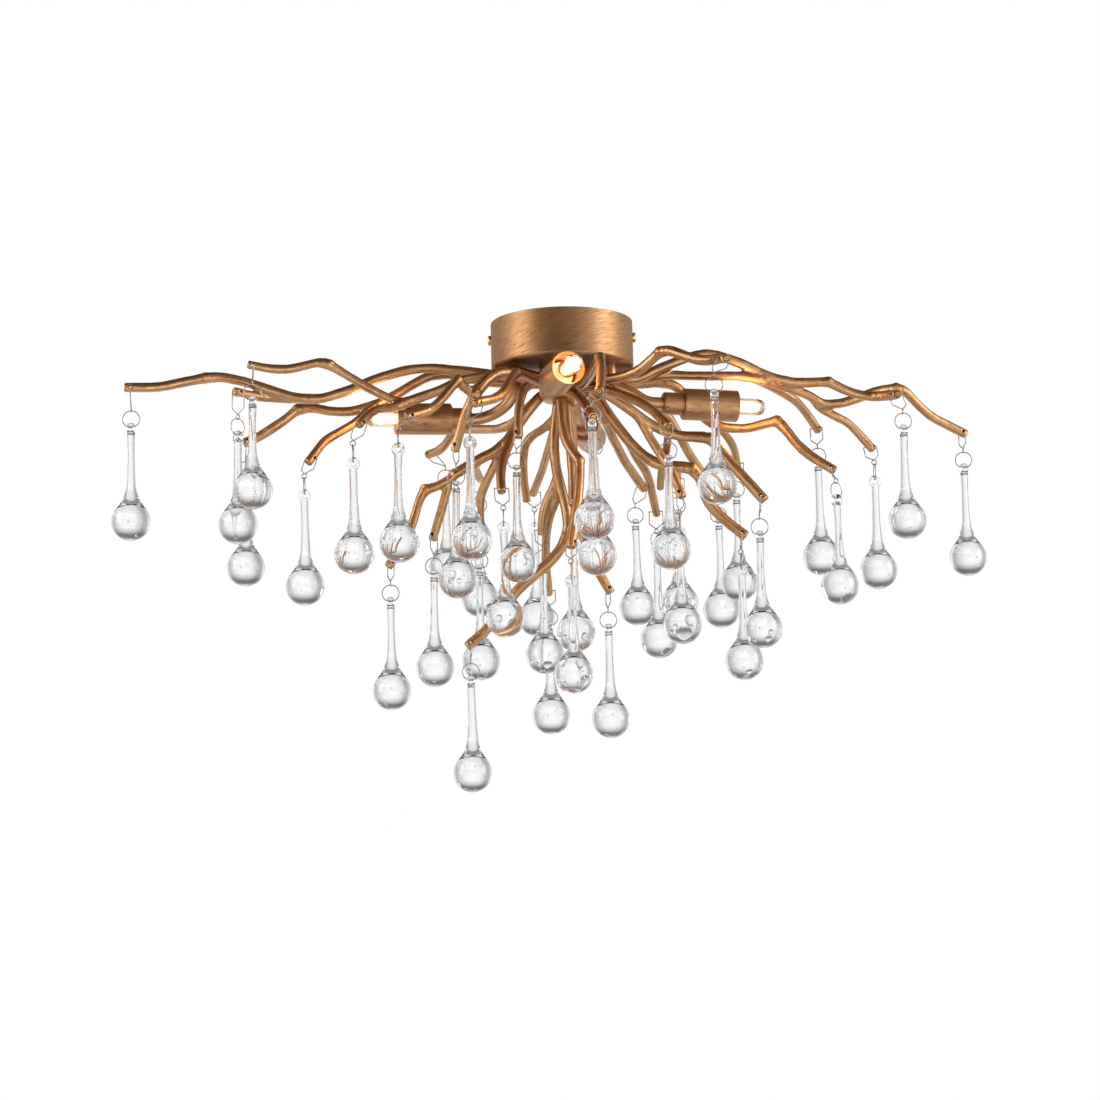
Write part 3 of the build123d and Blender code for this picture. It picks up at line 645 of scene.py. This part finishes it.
def eye_ring(form, hole_z):
    # The glass loop on top, thicker below its hole
    rows = []
    for step in range(EYE_STEPS):
        angle = 2 * math.pi * step / EYE_STEPS
        out = Vector((0, math.sin(angle), math.cos(angle)))
        row = []
        for turn in range(EYE_SECTION):
            across = 2 * math.pi * turn / EYE_SECTION
            radial = EYE_HOLE_R + EYE_WALL_R * (1 + math.cos(across))
            if out.z < 0:
                radial -= out.z * EYE_FOOT * (1 + math.cos(across)) / 2
            bulge = EYE_HALF_T * math.sin(across) * (1.0 - EYE_LEAN * math.cos(across))
            row.append(form.verts.new(out * radial + Vector((bulge, 0, hole_z))))
        rows.append(row)
    for step in range(EYE_STEPS):
        here, after = rows[step], rows[(step + 1) % EYE_STEPS]
        for turn in range(EYE_SECTION):
            other = (turn + 1) % EYE_SECTION
            form.faces.new((here[turn], after[turn], after[other], here[other]))


def mesh_of(name, build, *arguments):
    form = bmesh.new()
    build(form, *arguments)
    bmesh.ops.recalc_face_normals(form, faces=form.faces)
    mesh = bpy.data.meshes.new(name)
    form.to_mesh(mesh)
    form.free()
    return mesh


def drop_template():
    outline, hole_z = drop_outline()
    body = link("drop_template", mesh_of("drop_template", lathe, outline, TURNS))
    eye = link("eye_template", mesh_of("eye_template", eye_ring, hole_z))
    union = body.modifiers.new("union", "BOOLEAN")
    union.operation = "UNION"
    union.solver = "EXACT"
    union.object = eye
    with_modifiers_applied(body)
    places = np.array([vertex.co for vertex in body.data.vertices])
    mesh = body.data
    bpy.data.objects.remove(eye)
    bpy.data.objects.remove(body)
    return mesh, places


def bubble(form, centre, radius):
    # An air space, so its faces look inwards
    before = set(form.faces)
    bmesh.ops.create_icosphere(form, subdivisions=2, radius=radius,
                               matrix=Matrix.Translation(centre))
    fresh = [face for face in form.faces if face not in before]
    bmesh.ops.reverse_faces(form, faces=fresh)


def random_way(chance):
    return Vector((chance.gauss(0, 1), chance.gauss(0, 1), chance.gauss(0, 1))).normalized()


def make_drop(joint, template, places):
    # The template with a neck of its own thickness and bend, stretched up to its ring
    number = joint["child"][-2:]
    chance = random.Random(int(number))
    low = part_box("drop_" + number)[0]
    pivot = Vector(joint["pos_m"])
    centre = Vector((pivot.x, pivot.y, low.z + BALL_R))
    ring_up = pivot.z + RING_R - centre.z
    yaw = math.atan2(joint["axis"][1], joint["axis"][0])
    shape = places.copy()
    height = shape[:, 2]
    share = np.clip((height - STRETCH_FROM) / (STRETCH_TO - STRETCH_FROM), 0, 1)
    slim = chance.uniform(*SLIMNESS)
    neck = np.clip((height - NECK_FROM) / NECK_FADE_IN, 0, 1)
    neck = neck * np.clip((NECK_TO - height) / NECK_FADE_OUT, 0, 1)
    shape[:, :2] *= (1 + (slim - 1) * neck)[:, None]
    lean = chance.uniform(0, 2 * math.pi)
    sway = chance.uniform(*SWAY) * MM * np.sin(math.pi * np.clip(height / SWAY_LENGTH, 0, 1))
    shape[:, 0] += sway * math.cos(lean)
    shape[:, 1] += sway * math.sin(lean)
    shape[:, 2] += share * (ring_up - TEMPLATE_RING_UP)
    mesh = template.copy()
    mesh.vertices.foreach_set("co", shape.ravel())
    form = bmesh.new()
    form.from_mesh(mesh)
    for _ in range(chance.randint(*BUBBLE_COUNTS)):
        spot = random_way(chance) * BALL_R * chance.uniform(*BUBBLE_REACH)
        bubble(form, spot, chance.uniform(*BUBBLE_RADII))
    form.to_mesh(mesh)
    form.free()
    mesh.transform(Matrix.Translation(centre) @ Matrix.Rotation(yaw, 4, "Z"))
    smooth(mesh)
    piece = link("glass_" + number, mesh)
    dress(piece, "drop")
    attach(piece, joint["child"])
    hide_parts("drop_" + number)


template, template_places = drop_template()
for joint in frame["joints"]:
    make_drop(joint, template, template_places)
bpy.data.meshes.remove(template)


# Lamps

def lamp_matrix(mouth, heading, tilt):
    level = math.radians(heading)
    down = math.radians(tilt)
    out = Vector((math.cos(level) * math.cos(down), math.sin(level) * math.cos(down),
                  -math.sin(down)))
    side = out.cross(Vector((0, 0, 1))).normalized()
    up = out.cross(side)
    matrix = Matrix((side, up, out)).transposed().to_4x4()
    return Matrix.Translation(mouth) @ matrix


def bulb_glass(form):
    base = HOLDER_TOP
    reach = BULB_L
    outer = [(0.0, base + 2 * MM), (0.55 * BULB_R, base + 2 * MM), (0.8 * BULB_R, base + 5 * MM),
             (0.82 * BULB_R, base + 8 * MM), (BULB_R, base + 12 * MM), (BULB_R, base + 20 * MM),
             (BULB_R, base + reach - 12 * MM), (0.96 * BULB_R, base + reach - 5 * MM),
             (0.70 * BULB_R, base + reach - 2.4 * MM), (0.22 * BULB_R, base + reach - 1.6 * MM),
             (0.18 * BULB_R, base + reach - 0.2 * MM), (0.0, base + reach)]
    inner_r = BULB_R - BULB_WALL
    inner = [(0.0, base + 11 * MM), (0.5 * BULB_R, base + 11 * MM),
             (inner_r, base + 14 * MM), (inner_r, base + reach - 12 * MM),
             (0.82 * BULB_R, base + reach - 6 * MM), (0.5 * BULB_R, base + reach - 3.8 * MM),
             (0.0, base + reach - 3.4 * MM)]
    lathe(form, rounded(outer, 2), BULB_SIDES)
    lathe(form, rounded(inner, 2), BULB_SIDES, inward=True)


def tube(form, path, radius, sides=8):
    rows = []
    for number, point in enumerate(path):
        ahead = path[min(number + 1, len(path) - 1)] - path[max(number - 1, 0)]
        frame_of = ahead.to_track_quat("Z", "Y").to_matrix()
        row = []
        for side in range(sides):
            angle = 2 * math.pi * side / sides
            offset = frame_of @ Vector((math.cos(angle), math.sin(angle), 0)) * radius
            row.append(form.verts.new(point + offset))
        rows.append(row)
    for here, after in zip(rows, rows[1:]):
        for side in range(sides):
            other = (side + 1) % sides
            form.faces.new((here[side], here[other], after[other], after[side]))
    form.faces.new(rows[0][::-1])
    form.faces.new(rows[-1])


def burner(form):
    # The white-hot capsule inside the bulb
    start = BURNER_FROM
    end = start + BURNER_L
    outline = [(0.0, start), (0.7 * BURNER_R, start), (BURNER_R, start + 3 * MM),
               (BURNER_R, end - 5 * MM), (0.75 * BURNER_R, end - 1.5 * MM),
               (0.3 * BURNER_R, end), (0.0, end)]
    lathe(form, rounded(outline, 2), BURNER_SIDES)


def coil(form):
    # The wire wound ahead of the burner
    start = BURNER_FROM + BURNER_L
    steps = COIL_STEPS * COIL_TURNS
    path = []
    for step in range(steps + 1):
        angle = 2 * math.pi * COIL_TURNS * step / steps
        path.append(Vector((COIL_R * math.cos(angle), COIL_R * math.sin(angle),
                            start + COIL_L * step / steps)))
    tube(form, path, COIL_WIRE_R)


def posts(form):
    # Two hooked wires in the glass, and the two pins below it
    base = HOLDER_TOP
    for side in (-1, 1):
        post_x, pin_x = side * POST_APART, side * PIN_APART
        post = [Vector((post_x, 0, base + 8 * MM)), Vector((post_x, 0, base + 14 * MM)),
                Vector((side * 1.5 * MM, 0, base + 13 * MM))]
        tube(form, post, POST_R)
        pin = [Vector((pin_x, 0, base - 7 * MM)), Vector((pin_x, 0, base + 3.5 * MM))]
        tube(form, pin, PIN_R)


BULB_PARTS = [("glass", bulb_glass, "bulb"), ("burner", burner, "burner"),
              ("coil", coil, "coil"), ("posts", posts, "zinc")]
for lamp, mouth, heading, tilt in LAMPS:
    place = lamp_matrix(mouth, heading, tilt)
    for part, build, look in BULB_PARTS:
        form = bmesh.new()
        build(form)
        mesh = bpy.data.meshes.new(f"bulb_{part}_{lamp}")
        form.to_mesh(mesh)
        form.free()
        mesh.transform(place)
        smooth(mesh)
        piece = link(f"bulb_{part}_{lamp}", mesh)
        dress(piece, look)
        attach(piece, "fixture")
        piece.visible_shadow = part == "posts"
        if part == "glass":
            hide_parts("bulbs")
    light = bpy.data.lights.new("bulb_light_" + lamp, "POINT")
    light.energy = BULB_LIGHT
    light.color = (1.0, 0.54, 0.24)
    light.shadow_soft_size = BULB_R
    source = bpy.data.objects.new("bulb_light_" + lamp, light)
    source.matrix_world = place @ Matrix.Translation((0, 0, HOLDER_TOP + 0.75 * BULB_L))
    scene.collection.objects.link(source)


# Camera

def make_camera():
    right = Vector((1, 0, 0))
    ahead = Vector((0, math.cos(PITCH), math.sin(PITCH)))
    up = Vector((0, -math.sin(PITCH), math.cos(PITCH)))
    rolled_right = math.cos(ROLL) * right - math.sin(ROLL) * up
    rolled_up = math.sin(ROLL) * right + math.cos(ROLL) * up
    camera = bpy.data.cameras.new("camera")
    camera.lens = LENS_MM
    camera.sensor_width = SENSOR_MM
    camera.clip_end = 60.0
    holder = bpy.data.objects.new("camera", camera)
    holder.matrix_world = (Matrix.Translation(CAMERA_AT)
                           @ Matrix((rolled_right, rolled_up, -ahead)).transposed().to_4x4())
    scene.collection.objects.link(holder)
    scene.camera = holder


make_camera()
scene.view_settings.view_transform = "Standard"


# Floor, studio light and surroundings

FLOOR_Z = -1.6
FLOOR_HALF = 6.0
AIM = (0, 0, -0.15)
SIDE_BOX = (1.2, 1.8)
FRONT_BOX = (1.6, 0.6)


def area_light(name, place, size, energy):
    light = bpy.data.lights.new(name, "AREA")
    light.shape = "RECTANGLE"
    light.size, light.size_y = size
    light.energy = energy
    source = bpy.data.objects.new(name, light)
    aim = (Vector(AIM) - Vector(place)).to_track_quat("-Z", "Y").to_matrix().to_4x4()
    source.matrix_world = Matrix.Translation(place) @ aim
    scene.collection.objects.link(source)


def make_floor():
    # A pale floor far below, which glass and metal don't mirror
    form = bmesh.new()
    bmesh.ops.create_grid(form, x_segments=1, y_segments=1, size=FLOOR_HALF)
    mesh = bpy.data.meshes.new("floor")
    form.to_mesh(mesh)
    form.free()
    floor = link("floor", mesh)
    floor.location.z = FLOOR_Z
    material, tree, shader = new_look("floor_look")
    soft = noise_of(tree, object_place(tree), 1.5, 1.0)
    plug(tree, shader.inputs["Base Color"], ramp(tree, soft, [(0.3, 0.86), (0.7, 0.88)]))
    shader.inputs["Roughness"].default_value = 0.9
    floor.data.materials.append(material)
    floor.visible_glossy = False
    floor.visible_transmission = False


def make_world():
    # White behind the object for the camera, and a soft studio with dark gaps for metal and glass
    world = bpy.data.worlds.new("studio")
    scene.world = world
    world.use_nodes = True
    tree = world.node_tree
    tree.nodes.clear()
    way = add(tree, "TexCoord").outputs["Generated"]
    parts = add(tree, "SeparateXYZ", {0: way})
    turn = math_of(tree, "ARCTAN2", parts.outputs["X"], parts.outputs["Y"])
    azimuth = math_of(tree, "ADD", math_of(tree, "DIVIDE", turn, 2 * math.pi), 0.5)
    height = math_of(tree, "ADD", math_of(tree, "MULTIPLY", parts.outputs["Z"], 0.5), 0.5)
    gap = (0.22, 0.145, 0.08)
    dim = (0.42, 0.34, 0.27)
    wall = (0.80, 0.79, 0.78)
    lit = (1.1, 1.1, 1.15)
    upper = ramp(tree, azimuth, [
        (0.00, gap), (0.065, gap), (0.14, dim), (0.21, lit), (0.33, wall), (0.50, dim),
        (0.66, wall), (0.78, lit), (0.87, lit), (0.95, dim), (1.0, gap)])
    lower = ramp(tree, azimuth, [
        (0.00, wall), (0.12, lit), (0.25, wall), (0.50, lit), (0.72, wall), (0.90, lit),
        (1.0, wall)])
    below = ramp(tree, height, [(0.42, 1.0), (0.56, 0.0)])
    gloss = mixed(tree, below, upper, lower)
    gloss_up = ramp(tree, height, [(0.0, 0.75), (0.30, 1.0), (0.64, 1.0), (0.82, dim), (1.0, gap)])
    gloss = mixed(tree, 1.0, gloss, gloss_up, "MULTIPLY")
    glass_round = ramp(tree, azimuth, [
        (0.00, 0.70), (0.25, 0.97), (0.31, 0.92), (0.36, 0.42), (0.40, 0.45), (0.45, 0.92),
        (0.50, 1.0), (0.54, 0.92), (0.59, 0.60), (0.635, 0.38), (0.67, 0.92), (0.75, 0.98),
        (1.0, 0.70)])
    glass_up = ramp(tree, height, [
        (0.0, 0.60), (0.05, 0.35), (0.12, 0.50), (0.22, 0.85), (0.40, 0.93), (0.52, 1.0),
        (0.68, 1.0), (0.76, 0.62), (0.83, 0.16), (0.90, 0.12), (0.945, 0.45), (0.97, 0.9),
        (1.0, 0.9)])
    glass = mixed(tree, 1.0, glass_round, glass_up, "MULTIPLY")
    path = add(tree, "LightPath")
    shade = mixed(tree, path.outputs["Is Glossy Ray"], (0.62, 0.62, 0.62, 1.0), gloss)
    shade = mixed(tree, path.outputs["Is Transmission Ray"], shade, glass)
    shade = mixed(tree, path.outputs["Is Camera Ray"], shade, (1.0, 1.0, 1.0, 1.0))
    background = add(tree, "Background", {"Color": shade, "Strength": 1.0})
    out = add(tree, "OutputWorld")
    tree.links.new(background.outputs["Background"], out.inputs["Surface"])


make_floor()
make_world()
area_light("softbox_left", (-2.2, -0.8, 0.3), SIDE_BOX, 22.0)
area_light("softbox_right", (2.2, -0.6, 0.2), SIDE_BOX, 26.0)
area_light("softbox_front", (0.4, -2.6, -1.3), FRONT_BOX, 8.0)
